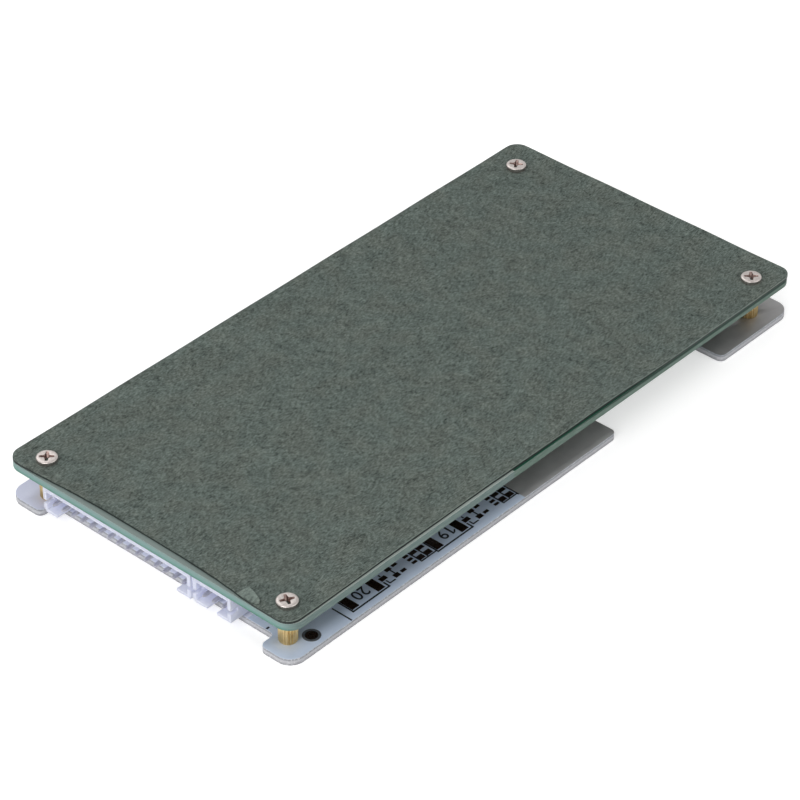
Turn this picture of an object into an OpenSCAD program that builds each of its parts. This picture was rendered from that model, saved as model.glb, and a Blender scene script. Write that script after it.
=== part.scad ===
// Battery management board. An aluminium-core power board and a glass-epoxy
// control board are stacked on four knurled standoffs, with an insulation sheet
// screwed down on top. Millimetres, +Z up. The origin is the centre of the base
// board's underside; the header end is -X, the power end is +X.

/* [Boards] */
// Length of both boards, along X
board_l = 152; // [150:1:164]
// Width of both boards, along Y
board_w = 76; // [76:1:84]
// Thickness of the aluminium-core base board
base_t = 1.6; // [1.2:0.1:2.4]
// Thickness of the glass-epoxy control board
control_t = 1.6; // [1.2:0.1:2.4]
// Clear height between the two boards
gap_h = 6.8; // [6.4:0.1:9]
// Outer corner radius of both boards
corner_r = 3.4; // [1.5:0.1:4]

/* [Base board notches] */
// Depth of the plug notch in the header end
plug_notch_d = 4; // [2:0.5:4.5]
// Length of the tab left at the -Y side of the plug notch
near_tab_l = 8.1; // [6.5:0.1:9]
// Length of the tab left at the +Y side of the plug notch
far_tab_l = 9; // [8:0.1:9.5]
// Length of the wire notch in the -Y edge
wire_notch_l = 34; // [20:1:40]
// Depth of the wire notch
wire_notch_d = 8; // [4:0.5:10]
// Distance from the power end to the wire notch
wire_notch_off = 23.6; // [14:0.2:26]
// Radius of the tab corners at the notches
tab_r = 1.4; // [0.8:0.1:2.5]
// Radius left by the cutter in the inner corners of the notches
cutter_r = 1; // [0.5:0.1:1.5]

/* [Insulation sheet] */
// Thickness of the fibrous sheet
sheet_t = 0.3; // [0.2:0.05:0.6]
// Bare strip of control board left at the header end
sheet_header_gap = 1; // [0:0.1:3]
// Bare strip of control board left at the power end
sheet_power_gap = 0.1; // [0:0.1:3]
// Bare strip of control board left along the -Y edge
sheet_near_gap = 0.8; // [0:0.1:2.5]
// Bare strip of control board left along the +Y edge
sheet_far_gap = 0.1; // [0:0.1:2.5]

/* [Standoffs and screws] */
// Outer diameter of the knurled standoff
standoff_d = 3.8; // [3.6:0.1:4.4]
// Number of teeth of the straight knurl
knurl_teeth = 32; // [20:1:40]
// Depth of the knurl
knurl_depth = 0.14; // [0.08:0.01:0.2]
// Thread diameter of the screws
screw_d = 2.5; // [2:0.1:2.6]
// Radial clearance of each screw in its hole or bore
screw_clear = 0.06; // [0.03:0.01:0.1]
// Head diameter of the low-head cover screws
pan_head_d = 4.3; // [4:0.1:5.2]
// Head height of the cover screws
pan_head_h = 1; // [0.8:0.1:2]
// Depth of the cross recess
recess_depth = 1.2; // [0.6:0.1:1.4]
// Span of the cross recess
recess_span = 3; // [2:0.1:3.2]
// Depth of thread that each screw takes up in its standoff
screw_bite = 2.6; // [1.5:0.1:3]
// Head diameter of the countersunk base screws
flat_head_d = 4.4; // [4:0.1:4.8]
// Head height of the countersunk base screws
flat_head_h = 1.1; // [0.8:0.05:1.2]
// Screw distance from the header end
screw_in_header = 4.7; // [4.5:0.1:5]
// Screw distance from the power end
screw_in_power = 7.8; // [5:0.1:9]
// Screw distance from the -Y edge
screw_in_near = 5.2; // [4.5:0.1:6]
// Screw distance from the +Y edge
screw_in_far = 6.8; // [5:0.1:7.2]

/* [Side-entry headers] */
// Pin pitch of both headers
pitch = 2.5; // [2.4:0.05:2.54]
// Pins of the cell header
cell_pins = 15; // [8:1:15]
// Pins of the sensor header
sensor_pins = 3; // [2:1:4]
// Distance from the last pin to the outside of the housing
pin_to_end = 2.45; // [2.3:0.05:2.6]
// Height of the housing under the control board
header_h = 6.1; // [5.7:0.1:6.2]
// Depth of the housing from mating face to rear face
header_d = 7; // [6.5:0.1:8]
// Depth of the housing's cavity
cavity_d = 5.9; // [5:0.1:6]
// Thickness of the wall that lies against the control board
seat_wall = 1.15; // [0.7:0.05:1.3]
// Thickness of the end walls
end_wall = 0.9; // [0.7:0.05:1]
// Thickness of the ears that close the open side at both ends
ear_wall = 0.7; // [0.6:0.05:0.9]
// Distance of the pins under the control board
pin_drop = 3.75; // [3.3:0.05:3.9]
// Side of the square pins
pin_side = 0.64; // [0.5:0.01:0.7]
// Distance of the mating face inside the board's edge
header_inset = 0.2; // [0:0.1:1]
// Distance of the pin tips inside the mating face
tip_inset = 0.2; // [0.1:0.1:1]
// Distance from the mating face to the soldered legs
leg_back = 9.2; // [8.8:0.1:9.8]
// Reach of the rear cheeks past the soldered legs
cheek_past = 1.8; // [1:0.1:2.3]
// Height of the rear cheeks under the control board
cheek_h = 4.8; // [4.2:0.1:5.5]
// Distance of the cell header's centre from the +Y edge
cell_header_off = 30; // [29.8:0.1:31]
// Gap between the two housings
header_gap = 0.6; // [0.3:0.1:1.5]
// Drop of the end walls' lock slots below the control board
lock_slot_drop = 3.2; // [2.8:0.1:3.6]
// Height of the lock slots
lock_slot_h = 0.9; // [0.6:0.1:1.2]
// Depth of the lock slots from the mating face
lock_slot_d = 2; // [1:0.1:3]
// Chamfer on the lower corner that keys the housing
key_chamfer = 0.8; // [0.4:0.1:1.2]

/* [Board links] */
// Pin pitch of the board-to-board links
link_pitch = 2; // [1.8:0.05:2]
// Columns of the two-row balance link
balance_cols = 8; // [5:1:9]
// Columns of the two-row power link
power_cols = 5; // [3:1:6]
// Height of the pin strip on the base board
strip_h = 2; // [1.5:0.1:2.2]
// Side of the square link pins
link_pin = 0.5; // [0.4:0.02:0.56]
// Clearance round each link pin and under the socket
link_clear = 0.1; // [0.05:0.01:0.15]
// Distance of the links' centre line from the first transistor body
link_off = 5; // [3:0.5:6]
// Distance of the balance link's centre from the -Y edge
balance_link_off = 46; // [42:0.5:50]
// Distance of the power link's centre from the -Y edge
power_link_off = 21; // [18:0.5:24]

/* [Power stage] */
// Transistors in each of the two banks
bank_count = 6; // [3:1:6]
// Spacing of the transistors along the banks
bank_pitch = 11.6; // [11:0.1:12]
// Distance from the power end to the last transistor
bank_off = 13; // [12:0.5:16]
// Width of a transistor body
fet_w = 10.2; // [9:0.1:10.4]
// Length of a transistor body
fet_l = 8.9; // [8:0.1:9.2]
// Height of a transistor body
fet_h = 4.4; // [4:0.1:4.6]
// Thickness of a transistor tab
fet_tab_t = 1.3; // [1:0.1:1.6]
// Length of the tab that stands out of the body
fet_tab_l = 1.4; // [1:0.1:1.6]
// Reach of the transistor leads
fet_lead_l = 4.6; // [4:0.1:5]
// Space between the tabs of the two banks
tab_gap = 2; // [1:0.1:3]
// Distance of the line between the banks from the -Y edge
bank_line = 32; // [31:0.5:33]
// Width of a current shunt
shunt_w = 8; // [6:0.5:10]
// Length of a current shunt
shunt_l = 14; // [12:0.5:14.5]
// Thickness of a current shunt
shunt_t = 1; // [0.8:0.1:1.2]
// Spacing of the two shunts
shunt_pitch = 24; // [16:1:30]

/* [Balance resistors] */
// Rows of fitted balance resistors, two to a row
bleed_rows = 7; // [4:1:7]
// Spacing of the rows along Y
bleed_row_pitch = 8; // [7:0.1:8.2]
// Spacing of the two columns along X
bleed_col_pitch = 24; // [22:0.5:24]
// Distance of the first column from the header end
bleed_off = 23.4; // [22.5:0.1:24]
// Distance of the first fitted row from the -Y edge
bleed_first = 12; // [12:0.5:14]
// Length of a balance resistor
bleed_l = 6.3; // [5.5:0.1:6.6]
// Width of a balance resistor
bleed_w = 3.2; // [2.5:0.1:3.4]
// Height of a balance resistor
bleed_h = 0.6; // [0.5:0.05:0.8]

/* [Control board parts] */
// Distance of the surge diodes and the first capacitor from the header end
surge_col = 19.5; // [18:0.5:20]
// Distance of the flat packages, crystal and regulator from the header end
chip_col = 32; // [30:0.5:34]
// Distance of the inductor from the header end
coil_col = 42; // [41:0.5:43]
// Distance of the gate driver from the header end
driver_col = 47; // [45:0.5:48]
// Distance of the second capacitor from the header end
second_can_col = 50; // [50:0.5:51]
// Distance of the capacitors, inductor and regulator from the -Y edge
supply_row = 12; // [10:0.5:14]
// Distance of the optocouplers from the +Y edge
opto_row = 12; // [10:0.5:14]
// Distance of the microcontroller from the -Y edge
control_row = 32; // [30:0.5:34]
// Distance of the cell monitor from the -Y edge
monitor_row = 50; // [48:0.5:52]
// Distance of the first surge diode from the -Y edge
surge_row = 42; // [40:0.5:44]
// Spacing of the surge diodes along Y
surge_step = 11; // [8:0.5:12]
// Spacing of the optocouplers along X
opto_step = 12; // [9:0.5:12]
// Body side of the two quad flat packages
quad_side = 7; // [6:0.1:7.5]
// Body height of the quad flat packages
quad_h = 1.4; // [1:0.1:1.6]
// Leads on each side of the quad flat packages
quad_leads = 12; // [8:1:12]
// Lead pitch of the quad flat packages
quad_pitch = 0.5; // [0.45:0.01:0.5]
// Diameter of the bulk capacitors
can_d = 6.3; // [5:0.1:6.8]
// Height of the bulk capacitors
can_h = 5.4; // [4.5:0.1:5.5]
// Side of the power inductor
coil_side = 7.3; // [6:0.1:8]
// Height of the power inductor
coil_h = 4.5; // [3:0.1:5]
// Length of a surge diode body
surge_l = 6.8; // [6:0.1:7.2]
// Width of a surge diode body
surge_w = 5.9; // [5:0.1:6.2]
// Height of a surge diode
surge_h = 2.3; // [2:0.1:2.6]

/* [Hidden] */
$fn = 48;
eps = 0.01;

header_x = -board_l / 2;                // header end of both boards
power_x = board_l / 2;                  // power end of both boards
near_y = -board_w / 2;
far_y = board_w / 2;
control_z = base_t + gap_h;             // underside of the control board
top_z = control_z + control_t;          // top of the control board
sheet_top = top_z + sheet_t;

hole_r = screw_d / 2 + screw_clear;
screw_xs = [header_x + screw_in_header, power_x - screw_in_power];
screw_ys = [near_y + screw_in_near, far_y - screw_in_far];
screw_turns = [[62, 42], [42, 32]];     // how far each screw happens to be turned

cell_l = (cell_pins - 1) * pitch + 2 * pin_to_end;
sensor_l = (sensor_pins - 1) * pitch + 2 * pin_to_end;
cell_y = far_y - cell_header_off;
sensor_y = cell_y - cell_l / 2 - header_gap - sensor_l / 2;
face_x = header_x + header_inset;       // mating face of both headers
leg_x = face_x + leg_back;

bank_y = near_y + bank_line;
bank_x = power_x - bank_off - (bank_count - 1) * bank_pitch;
bank_edge = bank_x - fet_w / 2;         // header side of the first transistors

link_x = bank_edge - link_off;
balance_link_y = near_y + balance_link_off;
power_link_y = near_y + power_link_off;
socket_h = gap_h - strip_h - link_clear;

fet_reach = tab_gap / 2 + fet_tab_l;    // from the line between the banks to a body
shunt_y = bank_y + fet_reach + fet_l + fet_lead_l + shunt_l / 2 + 0.6;
shunt_x = bank_x + bank_pitch;

bleed_x = header_x + bleed_off;
bleed_y = near_y + bleed_first;
cap_wrap = 0.6;                         // solderable end of a chip resistor

lead_t = 0.15;                          // sheet that gull-wing leads are bent from

// Places shared by the boards' modules

module at_screws() {
    for (i = [0, 1], j = [0, 1]) translate([screw_xs[i], screw_ys[j], 0]) rotate(screw_turns[i][j])
        children();
}

module on_base(x, y, turn = 0) {
    translate([x, y, base_t]) rotate(turn) children();
}

module under_control(x, y, turn = 0) {
    translate([x, y, control_z]) mirror([0, 0, 1]) rotate(turn) children();
}

// Outlines

module rounded_rect(l, w, r) {
    square([l - 2 * r, w], center = true);
    square([l, w - 2 * r], center = true);
    for (sx = [-1, 1], sy = [-1, 1]) translate([sx * (l / 2 - r), sy * (w / 2 - r)]) circle(r);
}

// A notch that enters from y = 0 towards +Y, rounded inside and at its mouth
module notch(l, d) {
    translate([-l / 2, -tab_r]) square([l, d + tab_r - cutter_r]);
    translate([-l / 2 + cutter_r, 0]) square([l - 2 * cutter_r, d]);
    for (s = [-1, 1]) {
        translate([s * (l / 2 - cutter_r), d - cutter_r]) circle(cutter_r);
        difference() {
            translate([s * l / 2 - tab_r, -tab_r]) square([2 * tab_r, 2 * tab_r]);
            translate([s * (l / 2 + tab_r), tab_r]) circle(tab_r);
            translate([s * (l / 2 + 1.5 * tab_r), 0]) square([tab_r, 4 * tab_r], center = true);
        }
    }
}

// Boards and sheet

module base_board() {
    plug_notch_l = board_w - near_tab_l - far_tab_l;
    color("lightsteelblue") difference() {
        linear_extrude(base_t) difference() {
            rounded_rect(board_l, board_w, corner_r);
            translate([header_x, near_y + near_tab_l + plug_notch_l / 2]) rotate(-90)
                notch(plug_notch_l, plug_notch_d);
            translate([power_x - wire_notch_off - wire_notch_l / 2, near_y])
                notch(wire_notch_l, wire_notch_d);
        }
        at_screws() {
            translate([0, 0, -eps]) cylinder(r = hole_r, h = base_t + 2 * eps);
            translate([0, 0, -eps]) cylinder(d1 = flat_head_d + 2 * screw_clear, d2 = 2 * hole_r,
                h = flat_head_h + eps);
        }
    }
}

module control_board() {
    color("seagreen") difference() {
        translate([0, 0, control_z]) linear_extrude(control_t) rounded_rect(board_l, board_w, corner_r);
        translate([0, 0, control_z - eps]) {
            at_screws() cylinder(r = hole_r, h = control_t + 2 * eps);
            at_legs(cell_pins, cell_y) cylinder(r = leg_hole_r(), h = control_t + 2 * eps, $fn = 24);
            at_legs(sensor_pins, sensor_y) cylinder(r = leg_hole_r(), h = control_t + 2 * eps, $fn = 24);
        }
    }
}

module insulation_sheet() {
    color("dimgray") difference() {
        translate([(sheet_header_gap - sheet_power_gap) / 2, (sheet_near_gap - sheet_far_gap) / 2, top_z])
            linear_extrude(sheet_t) rounded_rect(board_l - sheet_header_gap - sheet_power_gap,
                board_w - sheet_near_gap - sheet_far_gap, corner_r);
        translate([0, 0, top_z - eps]) at_screws() cylinder(r = hole_r, h = sheet_t + 2 * eps);
    }
}

// Standoffs and screws

module standoffs() {
    color("goldenrod") at_screws() translate([0, 0, base_t]) difference() {
        linear_extrude(gap_h) knurl_outline();
        translate([0, 0, -eps]) cylinder(r = hole_r, h = gap_h + 2 * eps);
    }
}

module knurl_outline() {
    tooth = 360 / knurl_teeth;
    polygon([for (i = [0:knurl_teeth - 1], edge = [0, 1])
        let (r = standoff_d / 2 - edge * knurl_depth, a = (i + edge / 2) * tooth)
        [r * cos(a), r * sin(a)]]);
}

module cover_screws() {
    color("gainsboro") at_screws() translate([0, 0, sheet_top]) difference() {
        union() {
            rotate_extrude() pan_profile();
            translate([0, 0, -shank_below_sheet()]) cylinder(d = screw_d, h = shank_below_sheet() + eps);
        }
        translate([0, 0, pan_head_h + eps]) mirror([0, 0, 1])
            linear_extrude(recess_depth + eps, scale = 0.4) cross_outline();
    }
}

function shank_below_sheet() = sheet_t + control_t + screw_bite;

// Half section of a low head: flat seat, upright rim, rolled edge and a slightly domed top
module pan_profile() {
    rim = pan_head_h * 0.45;
    crown = pan_head_h - rim;
    flat_r = pan_head_d / 2 - crown * 0.8;
    square([pan_head_d / 2, rim]);
    square([flat_r, pan_head_h]);
    translate([flat_r, rim]) intersection() {
        scale(crown) circle(1, $fn = 64);
        square([crown * 0.8, crown]);
    }
}

// Four blunt wings that widen towards the middle
module cross_outline() {
    tip = recess_span / 11;
    waist = recess_span / 3.6;
    for (a = [0:90:270]) rotate(a) polygon([
        [0, -waist / 2], [waist * 0.7, -waist / 2], [recess_span / 2, -tip],
        [recess_span / 2, tip], [waist * 0.7, waist / 2], [0, waist / 2]]);
    square(waist * 1.3, center = true);
}

module base_screws() {
    color("gainsboro") at_screws() difference() {
        union() {
            cylinder(d1 = flat_head_d, d2 = screw_d, h = flat_head_h);
            cylinder(d = screw_d, h = base_t + screw_bite);
        }
        translate([0, 0, -eps]) for (a = [0, 90]) rotate(a)
            translate([0, 0, flat_head_h / 4]) cube([flat_head_d / 2, 0.5, flat_head_h / 2 + 2 * eps],
                center = true);
    }
}

// Side-entry headers, modelled hanging down from z = 0 with the mating face at x = 0

function leg_hole_r() = pin_side * 0.5 * sqrt(2) + 0.05;

module at_legs(count, y) {
    for (i = [0:count - 1]) translate([leg_x, y + (i - (count - 1) / 2) * pitch, 0]) children();
}

module header_housing(count) {
    l = (count - 1) * pitch + 2 * pin_to_end;
    ear = pin_to_end + pitch / 2;
    difference() {
        union() {
            translate([0, -l / 2, -header_h]) cube([header_d, l, header_h]);
            for (y = [-l / 2, l / 2 - end_wall]) translate([header_d - eps, y, -cheek_h])
                cube([leg_back + cheek_past - header_d + eps, end_wall, cheek_h]);
        }
        translate([-eps, -l / 2 + end_wall, -header_h + ear_wall])
            cube([cavity_d + eps, l - 2 * end_wall, header_h - ear_wall - seat_wall]);
        translate([-eps, -l / 2 + ear, -header_h - eps])
            cube([cavity_d + eps, l - 2 * ear, ear_wall + 2 * eps]);
        translate([-eps, -l / 2 - eps, -lock_slot_drop - lock_slot_h])
            cube([lock_slot_d + eps, l + 2 * eps, lock_slot_h]);
        translate([-eps, 0, 0]) rotate([90, 0, 90]) linear_extrude(header_d + 2 * eps) polygon([
            [l / 2 - key_chamfer, -header_h - eps], [l / 2 + eps, -header_h - eps],
            [l / 2 + eps, -header_h + key_chamfer]]);
        for (i = [0:count - 1])
            translate([cavity_d - eps, (i - (count - 1) / 2) * pitch - pin_side / 2, -pin_drop - pin_side / 2])
                cube([header_d - cavity_d + 2 * eps, pin_side, pin_side]);
    }
}

// Right-angle pins: a pointed tip, a straight run and a leg up through the control board
module header_pins(count) {
    tip_l = pin_side;
    for (i = [0:count - 1]) translate([0, (i - (count - 1) / 2) * pitch, -pin_drop]) {
        translate([tip_inset + tip_l, -pin_side / 2, -pin_side / 2])
            cube([leg_back - tip_inset - tip_l + pin_side / 2, pin_side, pin_side]);
        translate([tip_inset, 0, 0]) rotate([0, 90, 0]) rotate(45)
            cylinder(r1 = pin_side * 0.35, r2 = pin_side / sqrt(2), h = tip_l, $fn = 4);
        translate([leg_back - pin_side / 2, -pin_side / 2, -pin_side / 2])
            cube([pin_side, pin_side, pin_side / 2 + pin_drop + control_t]);
    }
}

module cell_header() {
    color("lavender") translate([face_x, cell_y, control_z]) header_housing(cell_pins);
}

module sensor_header() {
    color("lavender") translate([face_x, sensor_y, control_z]) header_housing(sensor_pins);
}

module cell_header_pins() {
    color("gray") translate([face_x, cell_y, control_z]) header_pins(cell_pins);
}

module sensor_header_pins() {
    color("gray") translate([face_x, sensor_y, control_z]) header_pins(sensor_pins);
}

// Board-to-board links: two rows of pins in a strip, plugged into a socket overhead

module at_link_pins(cols) {
    for (i = [0:cols - 1], s = [-1, 1])
        translate([s * link_pitch / 2, (i - (cols - 1) / 2) * link_pitch, 0]) children();
}

module link_bar(cols, h, hole, hole_h) {
    difference() {
        translate([-link_pitch, -cols * link_pitch / 2, 0]) cube([2 * link_pitch, cols * link_pitch, h]);
        translate([-hole / 2, -hole / 2, -eps]) at_link_pins(cols) cube([hole, hole, hole_h + eps]);
    }
}

module link_strip(cols, y) {
    color("dimgray") translate([link_x, y, base_t]) link_bar(cols, strip_h, link_pin, strip_h + eps);
}

module link_pins(cols, y) {
    pin_h = gap_h - 1;
    color("gold") translate([link_x, y, base_t]) at_link_pins(cols)
        translate([-link_pin / 2, -link_pin / 2, 0]) cube([link_pin, link_pin, pin_h]);
}

module link_socket(cols, y) {
    color("dimgray") translate([link_x, y, control_z - socket_h])
        link_bar(cols, socket_h, link_pin + 2 * link_clear, socket_h - 0.5);
}

// Power stage

// Moulded package with a metal tab along +Y and bent leads along -Y, standing on z = 0
module tab_package(w, l, h, tab_t, tab_l, lead_l, lead_pitch, lead_w) {
    draft = 0.06 * h;
    lead_z = 0.55 * h;
    translate([w / 2, 0, 0]) rotate([90, 0, -90]) linear_extrude(w) polygon([
        [0, 0], [-l, 0], [-l, tab_t], [-l + draft, h], [draft, h], [0, lead_z]]);
    translate([-w / 2 + 0.2, l - eps, 0]) cube([w - 0.4, tab_l + eps, tab_t]);
    for (s = [-1, 1]) translate([s * lead_pitch + lead_w / 2, 0, 0]) rotate([90, 0, -90])
        linear_extrude(lead_w) polygon([
            [-0.4, lead_z], [0.35 * lead_l, lead_z], [0.6 * lead_l, 0.45], [lead_l, 0.45],
            [lead_l, 0], [0.5 * lead_l, 0], [0.25 * lead_l, lead_z - 0.45], [-0.4, lead_z - 0.45]]);
    translate([-lead_w / 2, -0.25 * lead_l, lead_z - 0.45]) cube([lead_w, 0.25 * lead_l + eps, 0.45]);
}

// The first bank takes the numbers from 1, the second goes on from it; their tabs face each other
module power_transistor(number) {
    bank = floor((number - 1) / bank_count);
    place = (number - 1) % bank_count;
    side = bank == 0 ? -1 : 1;
    if (bank < 2) color("dimgray")
        on_base(bank_x + place * bank_pitch, bank_y + side * (fet_reach + fet_l), bank == 0 ? 0 : 180)
            tab_package(fet_w, fet_l, fet_h, fet_tab_t, fet_tab_l, fet_lead_l, 2.54, 0.8);
}

module current_shunt(number) {
    foot = shunt_l / 5;
    rise = 1.2;
    color("sienna") on_base(shunt_x + (number - 1) * shunt_pitch, shunt_y)
        translate([shunt_w / 2, 0, 0]) rotate([90, 0, -90]) linear_extrude(shunt_w)
            for (s = [0, 1]) mirror([s, 0]) polygon([
                [-eps, rise], [shunt_l / 2 - foot - rise, rise], [shunt_l / 2 - foot, 0], [shunt_l / 2, 0],
                [shunt_l / 2, shunt_t], [shunt_l / 2 - foot, shunt_t],
                [shunt_l / 2 - foot - rise, rise + shunt_t], [-eps, rise + shunt_t]]);
}

module chip(l, w, h, wrap) {
    translate([-l / 2 + wrap, -w / 2, 0.03]) cube([l - 2 * wrap, w, h - 0.06]);
    for (s = [-1, 1]) translate([s * (l - wrap) / 2, 0, h / 2]) cube([wrap, w, h], center = true);
}

module balance_resistor(number) {
    row = floor((number - 1) / 2);
    col = (number - 1) % 2;
    if (row < bleed_rows) color("dimgray")
        on_base(bleed_x + col * bleed_col_pitch, bleed_y + row * bleed_row_pitch)
            chip(bleed_l, bleed_w, bleed_h, cap_wrap);
}

module heat_sensor() {
    color("dimgray") on_base(bank_x + bank_pitch / 2, bank_y, 90) chip(1.6, 0.8, 0.8, 0.3);
}

// Parts under the control board

// One gull-wing lead that starts inside the body at x = 0 and lands on z = 0
module gull_lead(reach, from_z, w) {
    rotate([90, 0, 0]) translate([0, 0, -w / 2]) linear_extrude(w) polygon([
        [-0.2, from_z], [0.3 * reach, from_z], [0.45 * reach, lead_t], [reach, lead_t],
        [reach, 0], [0.35 * reach, 0], [0.2 * reach, from_z - lead_t], [-0.2, from_z - lead_t]]);
}

module gull_chip(l, w, h, per_side, step, sides, lead_w, reach) {
    stand = 0.1;
    translate([-l / 2, -w / 2, stand]) cube([l, w, h]);
    for (side = [0:sides - 1]) rotate(side * 360 / sides)
        for (i = [0:per_side - 1])
            translate([(side % 2 == 0 || sides == 2 ? l : w) / 2, (i - (per_side - 1) / 2) * step, 0])
                gull_lead(reach, stand + h / 2 + lead_t / 2, lead_w);
}

module quad_package() {
    color("darkslategray") gull_chip(quad_side, quad_side, quad_h, quad_leads, quad_pitch, 4, 0.22, 1);
}

module cell_monitor() {
    under_control(header_x + chip_col, near_y + monitor_row) quad_package();
}

module microcontroller() {
    under_control(header_x + chip_col, near_y + control_row) quad_package();
}

module gate_driver() {
    color("darkslategray") under_control(header_x + driver_col, near_y + control_row)
        gull_chip(3.9, 4.9, 1.5, 4, 1.27, 2, 0.42, 1.05);
}

module optocoupler(number) {
    color("darkslategray") under_control(header_x + chip_col + (number - 1) * opto_step, far_y - opto_row)
        gull_chip(4.4, 4.6, 2, 2, 2.54, 2, 0.4, 1.2);
}

module regulator() {
    color("darkslategray") under_control(header_x + chip_col, near_y + supply_row - 3)
        tab_package(6.6, 6.1, 2.3, 0.5, 1, 2.6, 2.28, 0.8);
}

module inductor() {
    core_r = coil_side * 0.36;
    color("dimgray") under_control(header_x + coil_col, near_y + supply_row) difference() {
        linear_extrude(coil_h) rounded_rect(coil_side, coil_side, coil_side / 5);
        translate([0, 0, coil_h - 0.3]) difference() {
            cylinder(r = core_r, h = 0.3 + eps);
            cylinder(r = core_r - 0.5, h = 0.3 + eps);
        }
    }
}

module bulk_capacitor(number) {
    foot_side = can_d + 0.3;
    bead = 0.35;
    color("silver") under_control(header_x + (number == 1 ? surge_col : second_can_col), near_y + supply_row) {
        linear_extrude(0.8) intersection() {
            square(foot_side, center = true);
            rotate(45) square(foot_side * 1.2, center = true);
        }
        rotate_extrude() difference() {
            translate([0, 0.8 - eps]) square([can_d / 2, can_h - 0.8 + eps]);
            translate([can_d / 2 + bead * 0.4, 1.7]) circle(bead, $fn = 32);
            translate([can_d / 2 - bead, can_h - bead]) difference() {
                square(bead + eps);
                circle(bead, $fn = 32);
            }
        }
    }
}

module crystal() {
    color("silver") under_control(header_x + chip_col, near_y + (control_row + monitor_row) / 2) {
        linear_extrude(0.4 + eps) rounded_rect(5, 3.2, 0.4);
        translate([0, 0, 0.4]) linear_extrude(0.9) rounded_rect(4.5, 2.7, 0.7);
    }
}

module surge_diode(number) {
    waist = surge_h * 0.5;
    color("darkslategray") under_control(header_x + surge_col, near_y + surge_row + (number - 1) * surge_step) {
        translate([0, surge_w / 2, 0]) rotate([90, 0, 0]) linear_extrude(surge_w) polygon([
            [-surge_l / 2 + 0.3, 0.1], [surge_l / 2 - 0.3, 0.1], [surge_l / 2, waist],
            [surge_l / 2 - 0.3, surge_h], [-surge_l / 2 + 0.3, surge_h], [-surge_l / 2, waist]]);
        for (s = [0, 1]) mirror([s, 0, 0]) translate([0, 1.5, 0]) rotate([90, 0, 0])
            linear_extrude(3) polygon([
                [surge_l / 2 - 0.2, waist + 0.1], [surge_l / 2 + 0.5, waist + 0.1], [surge_l / 2 + 0.5, 0],
                [surge_l / 2 - 1, 0], [surge_l / 2 - 1, 0.2], [surge_l / 2 + 0.3, 0.2],
                [surge_l / 2 + 0.3, waist - 0.1], [surge_l / 2 - 0.2, waist - 0.1]]);
    }
}

base_board();
control_board();
insulation_sheet();
standoffs();
cover_screws();
base_screws();
cell_header();
cell_header_pins();
sensor_header();
sensor_header_pins();
link_strip(balance_cols, balance_link_y);  // balance_link_strip
link_pins(balance_cols, balance_link_y);  // balance_link_pins
link_socket(balance_cols, balance_link_y);  // balance_link_socket
link_strip(power_cols, power_link_y);  // power_link_strip
link_pins(power_cols, power_link_y);  // power_link_pins
link_socket(power_cols, power_link_y);  // power_link_socket
for (i = [1:12]) power_transistor(i);
for (i = [1:2]) current_shunt(i);
for (i = [1:14]) balance_resistor(i);
cell_monitor();
microcontroller();
gate_driver();
for (i = [1:2]) optocoupler(i);
regulator();
inductor();
for (i = [1:2]) bulk_capacitor(i);
crystal();
for (i = [1:2]) surge_diode(i);
heat_sensor();
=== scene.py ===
import bpy, bmesh, math
from mathutils import Matrix, Vector


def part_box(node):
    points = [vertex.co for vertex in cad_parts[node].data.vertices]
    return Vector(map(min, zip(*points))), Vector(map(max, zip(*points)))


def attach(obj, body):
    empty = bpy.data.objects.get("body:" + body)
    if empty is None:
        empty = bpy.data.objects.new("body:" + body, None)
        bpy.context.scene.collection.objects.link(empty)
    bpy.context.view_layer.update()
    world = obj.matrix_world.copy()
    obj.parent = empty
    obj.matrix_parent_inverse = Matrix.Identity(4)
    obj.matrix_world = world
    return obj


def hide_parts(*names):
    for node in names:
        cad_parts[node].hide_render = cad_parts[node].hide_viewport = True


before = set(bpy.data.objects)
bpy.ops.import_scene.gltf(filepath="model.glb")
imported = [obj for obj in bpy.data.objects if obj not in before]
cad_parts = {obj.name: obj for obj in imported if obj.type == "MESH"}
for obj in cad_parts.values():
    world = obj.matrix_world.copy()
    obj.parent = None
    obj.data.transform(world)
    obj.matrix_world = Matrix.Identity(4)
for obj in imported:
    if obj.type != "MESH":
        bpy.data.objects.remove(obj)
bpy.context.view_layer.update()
mm = 0.001
print("frame loaded:", len(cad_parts), "nodes")

boards = {"base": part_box("base_board"), "control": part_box("control_board"), "sheet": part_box("insulation_sheet")}
baseTop = boards["base"][1].z
controlUnder, controlTop = boards["control"][0].z, boards["control"][1].z
meshRules = {"sliver": 0.0008, "seam": 0.002, "flat": 0.6, "touch": 0.01}  # mm, mm, degrees, mm


def srgb(code):  # a written colour as the shader's linear values
    parts = [int(code[i:i + 2], 16) / 255 for i in (1, 3, 5)]
    return [c / 12.92 if c <= 0.04045 else ((c + 0.055) / 1.055) ** 2.4 for c in parts] + [1]


def setInputs(tree, node, inputs):  # each input gets its link or its value
    for key, value in inputs.items():
        if isinstance(value, bpy.types.NodeSocket):
            tree.links.new(value, node.inputs[key])
        else:
            node.inputs[key].default_value = value


def addNode(tree, kind, settings=None, inputs=None):
    node = tree.nodes.new("ShaderNode" + kind)
    for key, value in (settings or {}).items():
        setattr(node, key, value)
    setInputs(tree, node, inputs or {})
    return node


def makeActive(piece):
    if bpy.context.object and bpy.context.object.mode != "OBJECT":
        bpy.ops.object.mode_set(mode="OBJECT")
    bpy.ops.object.select_all(action="DESELECT")
    piece.select_set(True)
    bpy.context.view_layer.objects.active = piece


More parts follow.
